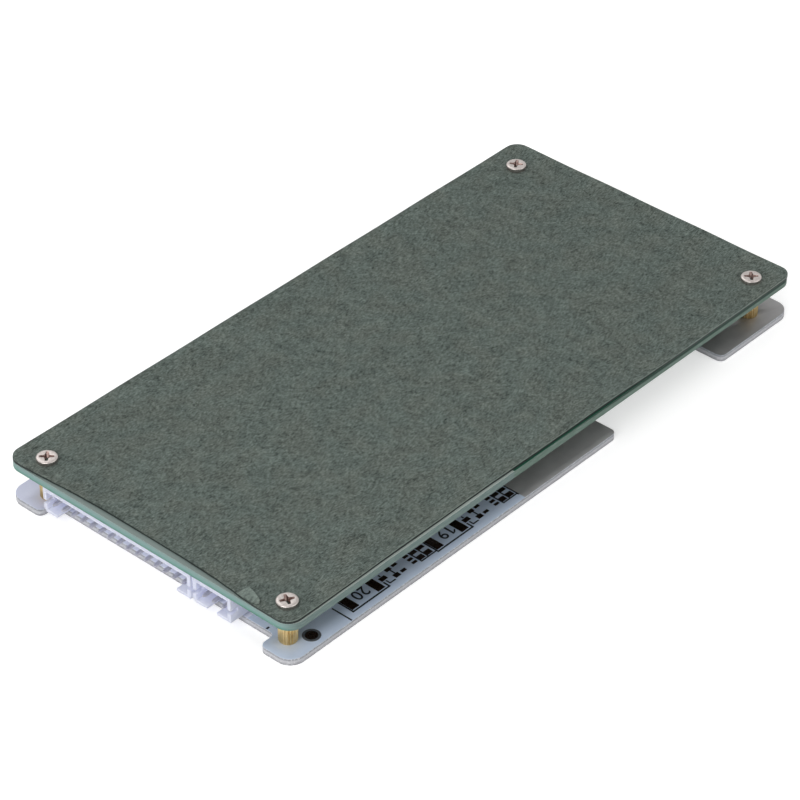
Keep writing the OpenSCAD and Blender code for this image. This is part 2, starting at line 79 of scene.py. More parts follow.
def bevelEdges(piece, width, segments=2, angle=30):
    makeActive(piece)
    bevel = piece.modifiers.new("edge", "BEVEL")
    bevel.width, bevel.segments = width, segments
    bevel.limit_method, bevel.angle_limit = "ANGLE", math.radians(angle)
    bevel.use_clamp_overlap = True
    bpy.ops.object.modifier_apply(modifier=bevel.name)
    bpy.ops.object.mode_set(mode="EDIT")  # a clamped bevel leaves slivers where edges meet
    bpy.ops.mesh.select_all(action="SELECT")
    bpy.ops.mesh.remove_doubles(threshold=meshRules["sliver"] * mm)
    bpy.ops.mesh.dissolve_degenerate(threshold=meshRules["sliver"] * mm)
    bpy.ops.object.mode_set(mode="OBJECT")


def thicken(piece, thickness):
    makeActive(piece)
    wall = piece.modifiers.new("wall", "SOLIDIFY")
    wall.thickness, wall.offset = thickness, 1
    bpy.ops.object.modifier_apply(modifier=wall.name)


def finishPiece(piece, name, materials, slot, stands=(), pick=None, smooth=35):
    makeActive(piece)
    bpy.ops.object.transform_apply()
    piece.name = piece.data.name = name
    piece.data.materials.clear()
    for material in materials:
        piece.data.materials.append(material)
    if pick:
        for face in piece.data.polygons:
            face.material_index = pick(face.center, face.normal)
    bpy.ops.object.shade_smooth_by_angle(angle=math.radians(smooth))
    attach(piece, "root")
    if stands:
        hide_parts(*stands)


def edgedCopy(node, width, segments=2):  # a copy of a CAD node with its edges broken by a width in mm
    piece = bpy.data.objects.new(node + "Copy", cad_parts[node].data.copy())
    bpy.context.scene.collection.objects.link(piece)
    makeActive(piece)
    bpy.ops.mesh.customdata_custom_splitnormals_clear()
    bpy.ops.object.mode_set(mode="EDIT")
    bpy.ops.mesh.select_all(action="SELECT")
    bpy.ops.mesh.remove_doubles(threshold=meshRules["seam"] * mm)
    bpy.ops.mesh.dissolve_limited(angle_limit=math.radians(meshRules["flat"]))
    bpy.ops.mesh.select_all(action="DESELECT")
    bpy.ops.mesh.select_interior_faces()  # walls left where two solids of one node meet
    bpy.ops.mesh.delete(type="FACE")
    bpy.ops.object.mode_set(mode="OBJECT")
    bevelEdges(piece, width * mm, segments)
    return piece


def slabs(rects, height, rounding):  # flat shapes on the base board, from x0, x1, y0, y1 in mm
    low, high = baseTop, baseTop + height * mm
    bpy.ops.mesh.primitive_cube_add(size=1, location=(0, 0, 0))
    piece = bpy.context.object
    bpy.ops.object.mode_set(mode="EDIT")
    bpy.ops.mesh.delete(type="VERT")
    for x0, x1, y0, y1 in rects:
        centre = (mm * (x0 + x1) / 2, mm * (y0 + y1) / 2, (low + high) / 2)
        bpy.ops.mesh.select_all(action="DESELECT")
        bpy.ops.mesh.primitive_cube_add(size=1, location=centre)
        bpy.ops.transform.resize(value=(mm * abs(x1 - x0), mm * abs(y1 - y0), high - low),
                                 center_override=centre)
    bpy.ops.object.mode_set(mode="OBJECT")
    bevelEdges(piece, rounding * mm, 1)
    return piece


# settings that the nodes below share: what a mix blends, and what a math node works out
colourMix, numberMix = {"data_type": "RGBA"}, {"data_type": "FLOAT"}
above, below, plus, times, larger = (
    {"operation": word} for word in ("GREATER_THAN", "LESS_THAN", "ADD", "MULTIPLY", "MAXIMUM"))


def startMaterial(name):  # a material with its nodes, its shader and the object's own coordinates
    material = bpy.data.materials.new(name)
    material.use_nodes = True
    tree = material.node_tree
    return material, tree, tree.nodes["Principled BSDF"], addNode(tree, "TexCoord").outputs["Object"]


plainLook = {
    "wear": 0.06,  # how far the roughness swings to each side
    "fineness": 2.5,  # the relief is this much finer than the grain
    "glowReach": 3.0,  # mm that light goes into a milky moulding
}


def finish(name, shades, grain, roughness, metallic, relief, ior=None, stretch=(1, 1, 1), glow=0.0):
    # two shades clouded together, with the roughness and a fine relief on the same grain; grain and relief in mm
    material, tree, shader, place = startMaterial(name)
    place = addNode(tree, "Mapping", inputs={"Vector": place, "Scale": stretch}).outputs[0]
    cloud = addNode(tree, "TexNoise", inputs={"Vector": place, "Scale": 1 / (grain * mm), "Detail": 5.0,
                                              "Roughness": 0.6}).outputs[0]
    spread = addNode(tree, "MapRange", inputs={"Value": cloud, "From Min": 0.32, "From Max": 0.68}).outputs[0]
    colour = addNode(tree, "Mix", colourMix, {0: spread, 6: srgb(shades[0]), 7: srgb(shades[1])}).outputs[2]
    gloss = addNode(tree, "MapRange", inputs={
        "Value": cloud, "From Min": 0.3, "From Max": 0.7,
        "To Min": roughness - plainLook["wear"], "To Max": roughness + plainLook["wear"]}).outputs[0]
    fine = addNode(tree, "TexNoise", inputs={
        "Vector": place, "Scale": plainLook["fineness"] / (grain * mm), "Detail": 3.0}).outputs[0]
    bump = addNode(tree, "Bump", inputs={"Height": fine, "Distance": relief * mm}).outputs[0]
    setInputs(tree, shader, {"Base Color": colour, "Roughness": gloss, "Metallic": metallic, "Normal": bump})
    if ior:
        shader.inputs["IOR"].default_value = ior
    if glow:
        setInputs(tree, shader, {"Subsurface Weight": glow, "Subsurface Scale": plainLook["glowReach"] * mm,
                                 "Subsurface Radius": (1, 1, 1)})
    return material


# each finish: shades, grain, roughness, metallic, relief and, where it isn't a metal, IOR
nickelPlatedSteel = finish("nickelPlatedSteel", ("#aaa29e", "#c2bbb7"), 0.5, 0.36, 1.0, 0.005)  # warm bright plate
paintedRecessShade = finish("paintedRecessShade", ("#5f4d48", "#a08b85"), 0.3, 0.34, 1.0, 0.004)  # painted shade: dark brown for the shade inside the cross recess
knurledBrass = finish("knurledBrass", ("#c9ae78", "#dcc593"), 1.6, 0.36, 1.0, 0.002)  # turned, a little dull
mouldedNylon = finish("mouldedNylon", ("#cfd3ef", "#dbdff8"), 1.8, 0.42, 0.0, 0.004, 1.53,
                      glow=0.75)  # milky, a little blue
tinnedPin = finish("tinnedPin", ("#a6a6b0", "#c3c3cc"), 0.6, 0.42, 0.45, 0.003)  # matt tin, oxidised grey
gildedPin = finish("gildedPin", ("#c79a45", "#dcb464"), 0.5, 0.22, 1.0, 0.001)  # thin gold over nickel
glassFilledNylon = finish("glassFilledNylon", ("#111113", "#1e1e21"), 0.5, 0.5, 0.0, 0.006, 1.53)  # black, fibrous
epoxyMould = finish("epoxyMould", ("#141416", "#202124"), 0.25, 0.58, 0.0, 0.008, 1.55)  # fine spark-eroded matt
tinnedLead = finish("tinnedLead", ("#a3a3a1", "#c2c2bf"), 0.7, 0.3, 1.0, 0.003)  # dipped solder on copper
shuntAlloy = finish("shuntAlloy", ("#8d5f46", "#a87658"), 0.8, 0.36, 1.0, 0.003, stretch=(1, 0.15, 1))  # rolled
aluminaCeramic = finish("aluminaCeramic", ("#d8d6cf", "#e6e4de"), 0.3, 0.6, 0.0, 0.003, 1.76)  # white, chalky
resistorGlaze = finish("resistorGlaze", ("#0c0c0e", "#19191c"), 0.8, 0.18, 0.0, 0.002, 1.6)  # glossy black glass
pressedFerrite = finish("pressedFerrite", ("#35353a", "#46464a"), 0.35, 0.62, 0.0, 0.01, 1.9)  # dull, sintered
drawnAluminium = finish("drawnAluminium", ("#b9babd", "#cfd0d2"), 0.5, 0.32, 1.0, 0.002,
                        stretch=(1, 1, 0.2))  # fine lines up the can's wall
kovarLid = finish("kovarLid", ("#b4afa6", "#c8c3ba"), 0.8, 0.3, 1.0, 0.002)  # satin welded lid
paintedRimShadow = finish("paintedRimShadow", ("#141b19", "#232d2a"), 0.8, 0.6, 0.0, 0.01, 1.47)  # painted shade: black film that stands for the shadow under the lifted rim
printInk = finish("printInk", ("#0b0e16", "#151a24"), 0.25, 0.55, 0.0, 0.003, 1.5)  # blue-black screen ink
tarnishedPad = finish("tarnishedPad", ("#1c1210", "#33251c"), 0.3, 0.3, 0.6, 0.002)  # brown bare copper
solderedPad = finish("solderedPad", ("#9b9b98", "#b8b8b4"), 0.5, 0.26, 1.0, 0.006)  # reflowed solder
targetRing = finish("targetRing", ("#474b50", "#5b6066"), 0.4, 0.45, 0.0, 0.003, 1.5)  # grey mask window


paperLook = {
    "green": ("#0a1410", "#828f88"), "warm": ("#0e1611", "#848e86"),  # between the fibres, and on them
    "fibre": (0.21, 0.85),       # width and length of the fibre bundles in mm, coarser than real so that they show
    "turns": (0.35, 1.4, 2.45),  # how the layers of fibres lie, in radians
    "clump": 0.8, "cloud": 2.4, "patch": 6.0,  # mm: felted clumps, thin places and warmer places
    "clumpShare": 0.35, "cloudShare": 0.2,     # how much of the fibres they take over
    "relief": 0.025, "roughness": 0.88, "ior": 1.45, "sheen": 0.3,
}


def paperFinish(name, brighten=0.0):
    # electrical fish paper: matted fibre bundles that cross each other, dull grey-green
    material, tree, shader, place = startMaterial(name)
    wide, long = paperLook["fibre"]
    fibres = None
    for turn in paperLook["turns"]:
        laid = addNode(tree, "Mapping", inputs={"Vector": place, "Rotation": (0, 0, turn),
                                                "Scale": (wide / long, 1, 1)}).outputs[0]
        layer = addNode(tree, "TexNoise", inputs={"Vector": laid, "Scale": 1 / (wide * mm), "Detail": 3.0,
                                                  "Distortion": 0.5}).outputs[0]
        if fibres:
            layer = addNode(tree, "Math", larger, {0: fibres, 1: layer}).outputs[0]
        fibres = layer
    clump = addNode(tree, "TexNoise", inputs={"Vector": place, "Scale": 1 / (paperLook["clump"] * mm),
                                              "Detail": 5.0, "Roughness": 0.75}).outputs[0]
    cloud = addNode(tree, "TexNoise", inputs={"Vector": place, "Scale": 1 / (paperLook["cloud"] * mm),
                                              "Detail": 3.0, "Distortion": 0.8}).outputs[0]
    patch = addNode(tree, "TexNoise", inputs={"Vector": place, "Scale": 1 / (paperLook["patch"] * mm),
                                              "Detail": 2.0}).outputs[0]
    fibres, clump, cloud, patch = (
        addNode(tree, "MapRange", inputs={"Value": value, "From Min": low, "From Max": high}).outputs[0]
        for value, low, high in ((fibres, 0.485, 0.69), (clump, 0.33, 0.67), (cloud, 0.3, 0.7), (patch, 0.4, 0.62)))
    level = addNode(tree, "Mix", numberMix, {0: paperLook["clumpShare"], 2: fibres, 3: clump}).outputs[0]
    level = addNode(tree, "Mix", numberMix, {0: paperLook["cloudShare"], 2: level, 3: cloud}).outputs[0]
    level = addNode(tree, "Math", plus, {0: level, 1: brighten}).outputs[0]
    green, warm = (addNode(tree, "Mix", colourMix, {0: level, 6: srgb(dark), 7: srgb(light)}).outputs[2]
                   for dark, light in (paperLook["green"], paperLook["warm"]))
    colour = addNode(tree, "Mix", colourMix, {0: patch, 6: green, 7: warm}).outputs[2]
    bump = addNode(tree, "Bump", inputs={"Height": level, "Distance": paperLook["relief"] * mm}).outputs[0]
    setInputs(tree, shader, {"Base Color": colour, "Normal": bump, "Roughness": paperLook["roughness"],
                             "IOR": paperLook["ior"], "Specular IOR Level": paperLook["sheen"]})
    return material


flatFrom = 0.6  # a face is a top when the Z of its normal is above this, and an underside below its negative


def boardFaces(tree, place):  # normal and place along the axes, and which faces are top and underside
    normal = addNode(tree, "SeparateXYZ", inputs={0: addNode(tree, "NewGeometry").outputs["Normal"]}).outputs
    along = addNode(tree, "SeparateXYZ", inputs={0: place}).outputs
    isTop = addNode(tree, "Math", above, {0: normal[2], 1: flatFrom}).outputs[0]
    isUnder = addNode(tree, "Math", below, {0: normal[2], 1: -flatFrom}).outputs[0]
    return normal, along, isTop, isUnder


def setStops(ramp, table):  # the shades of a cut edge, each with its share of the thickness
    while len(ramp.elements) < len(table):
        ramp.elements.new(0.5)
    for stop, (share, shade) in zip(ramp.elements, table):
        stop.position, stop.color = share, srgb(shade)


baseLook = {
    "tinFrom": -9.9,     # mm along X: the plating is bare from here to the power end
    "tinTo": -30.5,      # mm along Y: and up to here from the near edge
    "busFrom": 50.0,     # mm along X: bare bus area at the power end
    "mask": ("#b9c7dc", "#c7d4e7"), "farMask": ("#c3c7dd", "#cfd3e7"),  # cooler near the leads, warmer far away
    "farFrom": (-10.0, 30.0),  # mm along Y: the tint changes over this stretch
    "paintedBounceLight": ("#dadeec", "#e4e7f2"),   # painted light: whiter where the headers shade it, standing in for light bounced in under them
    "shadedBox": (-72.5, -58.0, -23.0, 27.5),
    "tin": ("#a9a8a9", "#c1c0c0"), "bus": ("#8a898a", "#a5a4a4"),
    "metal": ("#97999e", "#c3c4c8"), "torn": "#d6d6da",  # underside, and painted glints: bright specks on the cut edge
    "edge": ((0.0, "#7a7b7e"), (0.1, "#95969b"), (0.3, "#afafb4"), (0.55, "#c3c3c8"), (0.75, "#999ba1"),
             (0.86, "#7e8085"), (0.93, "#b8bec8")),  # share of the thickness and the cut edge's shade from there
    "cloud": 2.2, "brush": 0.25, "chatter": 0.4,  # mm: handling marks, lines of the roller, steps of the cutter
    "brushing": 0.04,    # width of the roller's lines as a share of their length
    "wander": 0.2,       # share of the thickness that the edge's stripes wander
    "paintedGlintShare": 0.75, "underMetal": 0.5, "roughness": (0.4, 0.58), "relief": 0.006,
}


def baseBoardFinish():
    # aluminium-core board: chalky white mask on top, bare tin on the bus strips, striped milled edges, with painted
    # glints on the edges and painted bounce light under the headers
    material, tree, shader, place = startMaterial("maskedAluminiumCore")
    normal, along, isTop, isUnder = boardFaces(tree, place)
    pastTin = addNode(tree, "Math", above, {0: along[0], 1: baseLook["tinFrom"] * mm}).outputs[0]
    nearEdge = addNode(tree, "Math", below, {0: along[1], 1: baseLook["tinTo"] * mm}).outputs[0]
    strip = addNode(tree, "Math", times, {0: pastTin, 1: nearEdge}).outputs[0]
    isBus = addNode(tree, "Math", above, {0: along[0], 1: baseLook["busFrom"] * mm}).outputs[0]
    bare = addNode(tree, "Math", larger, {0: strip, 1: isBus}).outputs[0]
    cloud = addNode(tree, "TexNoise", inputs={"Vector": place, "Scale": 1 / (baseLook["cloud"] * mm),
                                              "Detail": 5.0}).outputs[0]
    brushed = addNode(tree, "Mapping", inputs={"Vector": place, "Scale": (baseLook["brushing"], 1, 1)}).outputs[0]
    grain = addNode(tree, "TexNoise", inputs={"Vector": brushed, "Scale": 1 / (baseLook["brush"] * mm),
                                              "Detail": 4.0}).outputs[0]
    chatter = addNode(tree, "TexNoise", inputs={"Vector": place, "Scale": 1 / (baseLook["chatter"] * mm),
                                                "Detail": 4.0}).outputs[0]
    wander = addNode(tree, "MapRange", inputs={"Value": chatter, "To Min": -baseLook["wander"],
                                               "To Max": baseLook["wander"]}).outputs[0]
    height = addNode(tree, "Math", {"operation": "DIVIDE"}, {0: along[2], 1: baseTop}).outputs[0]
    height = addNode(tree, "Math", plus, {0: height, 1: wander}).outputs[0]
    edge = addNode(tree, "ValToRGB", inputs={0: height})
    setStops(edge.color_ramp, baseLook["edge"])
    # painted glints: bright specks scattered over the cut edge
    torn = addNode(tree, "MapRange", inputs={"Value": chatter, "From Min": 0.52, "From Max": 0.68,
                                             "To Max": baseLook["paintedGlintShare"]}).outputs[0]
    edge = addNode(tree, "Mix", colourMix, {0: torn, 6: edge.outputs[0], 7: srgb(baseLook["torn"])}).outputs[2]
    shade = {}
    for part in ("mask", "farMask", "paintedBounceLight", "tin", "bus", "metal"):
        dark, light = baseLook[part]
        shade[part] = addNode(tree, "Mix", colourMix, {0: grain if part == "metal" else cloud,
                                                       6: srgb(dark), 7: srgb(light)}).outputs[2]
    # painted bounce light: the box under the headers where the whiter mask goes
    paintedBounceArea = None
    for side, limit in enumerate(baseLook["shadedBox"]):
        inside = addNode(tree, "Math", below if side % 2 else above, {0: along[side // 2], 1: limit * mm}).outputs[0]
        if paintedBounceArea:
            inside = addNode(tree, "Math", times, {0: paintedBounceArea, 1: inside}).outputs[0]
        paintedBounceArea = inside
    far = addNode(tree, "MapRange", inputs={"Value": along[1], "From Min": baseLook["farFrom"][0] * mm,
                                            "From Max": baseLook["farFrom"][1] * mm}).outputs[0]
    mask = addNode(tree, "Mix", colourMix, {0: far, 6: shade["mask"], 7: shade["farMask"]}).outputs[2]
    mask = addNode(tree, "Mix", colourMix, {0: paintedBounceArea, 6: mask, 7: shade["paintedBounceLight"]}).outputs[2]
    tin = addNode(tree, "Mix", colourMix, {0: isBus, 6: shade["tin"], 7: shade["bus"]}).outputs[2]
    top = addNode(tree, "Mix", colourMix, {0: bare, 6: mask, 7: tin}).outputs[2]
    sides = addNode(tree, "Mix", colourMix, {0: isUnder, 6: edge, 7: shade["metal"]}).outputs[2]
    colour = addNode(tree, "Mix", colourMix, {0: isTop, 6: sides, 7: top}).outputs[2]
    tinned = addNode(tree, "Math", times, {0: isTop, 1: bare}).outputs[0]
    metallic = addNode(tree, "Mix", numberMix, {0: tinned, 2: isUnder, 3: baseLook["underMetal"]}).outputs[0]
    rough = addNode(tree, "MapRange", inputs={"Value": cloud, "To Min": baseLook["roughness"][0],
                                              "To Max": baseLook["roughness"][1]}).outputs[0]
    relief = addNode(tree, "Mix", numberMix, {0: isTop, 2: grain, 3: cloud}).outputs[0]
    bump = addNode(tree, "Bump", inputs={"Height": relief, "Distance": baseLook["relief"] * mm}).outputs[0]
    setInputs(tree, shader, {"Base Color": colour, "Metallic": metallic, "Roughness": rough, "Normal": bump})
    return material


controlLook = {
    "darkFrom": -13.35,  # mm along X: copper lies under the mask from here
    "pale": "#7a8783", "deep": "#144634", "under": ("#1d4736", "#2b5d48"),
    "cut": ((0.0, "#578072"), (0.25, "#6b928a"), (0.55, "#7d9a96"), (0.9, "#7f9693")),  # by share of the thickness
    "paintedLongSideShade": ("#677a77", "#5c7267"), "frayed": "#93a29b",  # painted shade: the long sides are darker, on laminate and on copper
    "worn": "#dde4dc", "highlightStrip": (0.7, 0.26),  # painted highlight on the top edge's chamfer and along the near edge: width in mm from the near edge, and how far it shows
    "slant": (0.6, 0.32),  # Z of the normals on the chamfer that gets the painted highlight: middle, and how far to each side
    "run": "#0b2e22", "sheetShadowLevel": (-12, 30, 0.8, 0.3),  # painted shadow of the overhanging sheet on the long sides' upper part; mm: X where it starts and ends to deepen, depth, fade
    "cloud": 1.6, "layer": 0.6, "layering": (0.25, 0.25, 3),  # mm, mm, and the plies' stretch
    "wander": 0.3, "frayShare": 0.55, "roughness": (0.6, 0.38), "relief": 0.01, "ior": 1.55, "sheen": 0.25,
}


def controlBoardFinish():
    # glass-epoxy board: green mask, darker over copper, pale layered cut edges; painted shade on the long sides, a
    # painted shadow of the sheet on their upper part, and a painted highlight along the near edge
    material, tree, shader, place = startMaterial("maskedGlassEpoxy")
    normal, along, isTop, isUnder = boardFaces(tree, place)
    copper = addNode(tree, "Math", above, {0: along[0], 1: controlLook["darkFrom"] * mm}).outputs[0]
    cloud = addNode(tree, "TexNoise", inputs={"Vector": place, "Scale": 1 / (controlLook["cloud"] * mm),
                                              "Detail": 5.0}).outputs[0]
    layered = addNode(tree, "Mapping", inputs={"Vector": place, "Scale": controlLook["layering"]}).outputs[0]
    layers = addNode(tree, "TexNoise", inputs={"Vector": layered, "Scale": 1 / (controlLook["layer"] * mm),
                                               "Detail": 4.0}).outputs[0]
    wander = addNode(tree, "MapRange", inputs={"Value": layers, "To Min": -controlLook["wander"],
                                               "To Max": controlLook["wander"]}).outputs[0]
    height = addNode(tree, "MapRange", inputs={"Value": along[2], "From Min": controlUnder,
                                               "From Max": controlTop}).outputs[0]
    height = addNode(tree, "Math", plus, {0: height, 1: wander}).outputs[0]
    cut = addNode(tree, "ValToRGB", inputs={0: height})
    setStops(cut.color_ramp, controlLook["cut"])
    # painted shade goes on the long sides, whose normals point along Y
    sideways = addNode(tree, "Math", {"operation": "ABSOLUTE"}, {0: normal[1]}).outputs[0]
    isLong = addNode(tree, "MapRange", inputs={"Value": sideways, "From Min": 0.35, "From Max": 0.95}).outputs[0]
    bare, coppered = controlLook["paintedLongSideShade"]
    paintedLongSideShade = addNode(tree, "Mix", colourMix, {0: copper, 6: srgb(bare), 7: srgb(coppered)}).outputs[2]
    frayed = addNode(tree, "MapRange", inputs={"Value": layers, "From Min": 0.45, "From Max": 0.75,
                                               "To Max": controlLook["frayShare"]}).outputs[0]
    paintedLongSideShade = addNode(tree, "Mix", colourMix, {0: frayed, 6: paintedLongSideShade, 7: srgb(controlLook["frayed"])}).outputs[2]
    # painted shadow of the sheet's overhang, deeper towards the power end, on the upper part of the long sides
    begin, end, depth, fade = controlLook["sheetShadowLevel"]
    sheetShadowLevel = addNode(tree, "MapRange", inputs={"Value": along[0], "From Min": begin * mm, "From Max": end * mm,
                                              "To Max": depth * mm}).outputs[0]
    sheetShadowLevel = addNode(tree, "Math", plus, {0: sheetShadowLevel, 1: along[2]}).outputs[0]
    sheetShadowShare = addNode(tree, "MapRange", inputs={"Value": sheetShadowLevel, "From Min": controlTop,
                                              "From Max": controlTop + fade * mm}).outputs[0]
    paintedLongSideShade = addNode(tree, "Mix", colourMix, {0: sheetShadowShare, 6: paintedLongSideShade, 7: srgb(controlLook["run"])}).outputs[2]
    sidesWithPaintedShade = addNode(tree, "Mix", colourMix, {0: isLong, 6: cut.outputs[0], 7: paintedLongSideShade}).outputs[2]
    top = addNode(tree, "Mix", colourMix, {0: copper, 6: srgb(controlLook["pale"]), 7: srgb(controlLook["deep"])})
    dark, light = controlLook["under"]
    under = addNode(tree, "Mix", colourMix, {0: cloud, 6: srgb(dark), 7: srgb(light)}).outputs[2]
    sideOrTop = addNode(tree, "Mix", colourMix, {0: isTop, 6: sidesWithPaintedShade, 7: top.outputs[2]}).outputs[2]
    # painted highlight: the top edge's chamfer and a strip along the near edge, not over copper
    slanted = addNode(tree, "Math", {"operation": "COMPARE"},
                      {0: normal[2], 1: controlLook["slant"][0], 2: controlLook["slant"][1]}).outputs[0]
    width, share = controlLook["highlightStrip"]
    nearStrip = addNode(tree, "Math", below, {0: along[1], 1: boards["control"][0].y + width * mm}).outputs[0]
    nearStrip = addNode(tree, "Math", times, {0: nearStrip, 1: isTop}).outputs[0]
    highlightShare = addNode(tree, "Math", {"operation": "MULTIPLY_ADD"}, {0: nearStrip, 1: share, 2: slanted}).outputs[0]
    highlightShare = addNode(tree, "Math", {"operation": "SUBTRACT", "use_clamp": True}, {0: highlightShare, 1: copper}).outputs[0]
    highlighted = addNode(tree, "Mix", colourMix, {0: highlightShare, 6: sideOrTop, 7: srgb(controlLook["worn"])}).outputs[2]
    colour = addNode(tree, "Mix", colourMix, {0: isUnder, 6: highlighted, 7: under}).outputs[2]
    flat = addNode(tree, "Math", larger, {0: isTop, 1: isUnder}).outputs[0]
    cutRough, maskRough = controlLook["roughness"]
    rough = addNode(tree, "Mix", numberMix, {0: flat, 2: cutRough, 3: maskRough}).outputs[0]
    bump = addNode(tree, "Bump", inputs={"Height": layers, "Distance": controlLook["relief"] * mm}).outputs[0]
    setInputs(tree, shader, {"Base Color": colour, "Roughness": rough, "Normal": bump,
                             "IOR": controlLook["ior"], "Specular IOR Level": controlLook["sheen"]})
    return material


fishPaper = paperFinish("fishPaper")
cutFishPaper, tornFishPaper = paperFinish("cutFishPaper", 0.62), paperFinish("tornFishPaper", 0.3)  # paler fibres
maskedAluminiumCore, maskedGlassEpoxy = baseBoardFinish(), controlBoardFinish()
print("finishes made")

finishPiece(edgedCopy("base_board", 0.1), "basePlate", [maskedAluminiumCore], "aluminium_core_board",
            ["base_board"])
finishPiece(edgedCopy("control_board", 0.16, 1), "controlPlate", [maskedGlassEpoxy], "glass_epoxy_board",
            ["control_board"])
print("boards done")

sheetShape = {  # cut by hand, so its rim wanders and stands up a little; the black film under it is painted shade for the gap under the rim
    "corner": 3.0, "cells": (190, 95),
    "film": 0.05,        # mm of black film between sheet and board, painted shade
    "room": 0.01,        # mm left free over film and sheet
    "underFilm": 0.002,  # mm between film and board
    "lift": 0.34,        # mm that the rim stands off the board
    "reach": 5.0,        # mm from the rim where it lies flat again
    "swell": (0.85, 0.15), "waves": (210, 1.3, 260, 0.4),  # how much the lift varies, and its two waves per metre
    "filmOut": 0.06, "filmNear": 1.6,  # mm that the black film reaches out past the sheet, and how much more on the near side
    "smallest": 0.01,    # mm: the smallest margin
    "cutFrom": -0.6,     # Y of the normals from which a face is the near cut
    "headerRim": ((-38, 0.05), (-30, 0.1), (-26, 0.35), (-22, 0.75), (-18, 1.02), (-14, 1.18), (-8, 1.35),
                  (2, 1.4), (12, 1.38), (18, 1.2), (22, 1.02), (26, 0.72), (30, 0.42), (34, 0.22), (38, 0.2)),
    "nearRim": ((-76, 0.45), (-70, 0.38), (-60, 0.48), (-50, 0.58), (-35, 0.6), (-26, 0.7), (-20, 0.68), (-14, 0.58),
                (-5, 0.5), (10, 0.48), (19, 0.38), (28, 0.2), (37, 0.08), (43, 0.02), (76, 0.02)),
}


def rimAt(table, where):  # margin in mm at a place along the rim, smoothed between the table's points
    for (a, low), (b, high) in zip(table, table[1:]):
        if where <= b:
            share = min(1, max(0, (where - a) / (b - a)))
            return low + (high - low) * share * share * (3 - 2 * share)
    return table[-1][1]


def rimmedLayer(name, materials, thickness, spread, stands):
    # a layer with the sheet's outline; spread is how far its rim reaches out past the sheet's, in mm
    low, high = boards["sheet"]
    plate = boards["control"]
    centre, size = (plate[0] + plate[1]) / 2, plate[1] - plate[0]
    bpy.ops.mesh.primitive_grid_add(x_subdivisions=sheetShape["cells"][0], y_subdivisions=sheetShape["cells"][1],
                                    size=1, location=(centre.x, centre.y, low.z))
    piece = bpy.context.object
    piece.scale = (size.x, size.y, 1)
    makeActive(piece)
    bpy.ops.object.transform_apply()
    least, radius = sheetShape["smallest"], sheetShape["corner"] * mm
    even, swing = sheetShape["swell"]
    waveX, startX, waveY, startY = sheetShape["waves"]
    lifts = []
    for vertex in piece.data.vertices:
        left = plate[0].x + max(least, rimAt(sheetShape["headerRim"], vertex.co.y / mm) - spread) * mm
        near = plate[0].y + max(least, rimAt(sheetShape["nearRim"], vertex.co.x / mm)
                                - sheetShape["filmNear"] * spread) * mm
        across, along = (vertex.co.x - plate[0].x) / size.x, (vertex.co.y - plate[0].y) / size.y
        x = left + (high.x - left) * across
        y = near + (high.y - near) * along
        edge = min(x - left, high.x - x, y - near, high.y - y) / mm
        for sx in (-1, 1):  # square corners drawn in to round ones
            for sy in (-1, 1):
                cornerX = (high.x if sx > 0 else left) - sx * radius
                cornerY = (high.y if sy > 0 else near) - sy * radius
                dx, dy = sx * (x - cornerX), sy * (y - cornerY)
                if dx > 0 and dy > 0:
                    longest, far = max(dx, dy), math.hypot(dx, dy)
                    x, y = cornerX + sx * dx * longest / far, cornerY + sy * dy * longest / far
        rise = max(0, 1 - edge / sheetShape["reach"]) ** 2
        swell = even + swing * math.sin(x * waveX + startX) * math.cos(y * waveY + startY)
        lifts.append(sheetShape["lift"] * mm * rise * swell)
        vertex.co = (x, y, low.z)
    thicken(piece, thickness)
    for vertex in piece.data.vertices:
        isUpper = vertex.co.z > low.z + thickness / 2
        lift = lifts[vertex.index % len(lifts)]
        if spread:  # the lower layer, the painted-shade film, fills the space that the lifted rim leaves
            vertex.co.z += lift if isUpper else sheetShape["underFilm"] * mm
        else:
            vertex.co.z += sheetShape["film"] * mm + lift
    finishPiece(piece, name, materials, "fish_paper", stands,
                lambda spot, normal: 0 if normal.y > sheetShape["cutFrom"] else len(materials) - 1, smooth=40)


sheetThickness = boards["sheet"][1].z - boards["sheet"][0].z - (sheetShape["film"] + sheetShape["room"]) * mm
rimmedLayer("paperSheet", [fishPaper, cutFishPaper], sheetThickness, 0.0, ["insulation_sheet"])
# painted shade: a black film under the sheet darkens the gap under its lifted rim
rimmedLayer("rimShadowFilm", [paintedRimShadow], sheetShape["film"] * mm, sheetShape["filmOut"], [])

tornFlake = {  # a ply of the same paper, torn up at the header-end rim
    "outline": ((-75.62, -24.2), (-74.6, -24.35), (-73.2, -24.75), (-73.25, -25.6), (-73.5, -26.6), (-73.85, -27.6),
                (-74.3, -28.7), (-75.0, -29.3), (-75.6, -28.8), (-75.72, -27.4), (-75.55, -26.2), (-75.75, -25.2)),
    "thickness": 0.08, "curl": 0.35, "curlFrom": -75.3, "curlOver": 2,  # mm
    "clear": 0.02, "ripple": 0.03, "ripples": 5,  # mm, mm, and waves along Y
    "height": 0.9,  # share of the rim's lift on which it lies
}
bpy.ops.mesh.primitive_circle_add(vertices=len(tornFlake["outline"]) * 4, radius=1, fill_type="TRIFAN",
                                  location=(0, 0, 0))
flake = bpy.context.object
makeActive(flake)
bpy.ops.object.mode_set(mode="EDIT")
bpy.ops.mesh.select_all(action="SELECT")
bpy.ops.mesh.subdivide(number_cuts=3)
bpy.ops.object.mode_set(mode="OBJECT")
flakeZ = boards["sheet"][1].z + sheetShape["lift"] * mm * tornFlake["height"]
ring = [Vector(corner) for corner in tornFlake["outline"]]
middle = sum(ring, Vector((0, 0))) / len(ring)
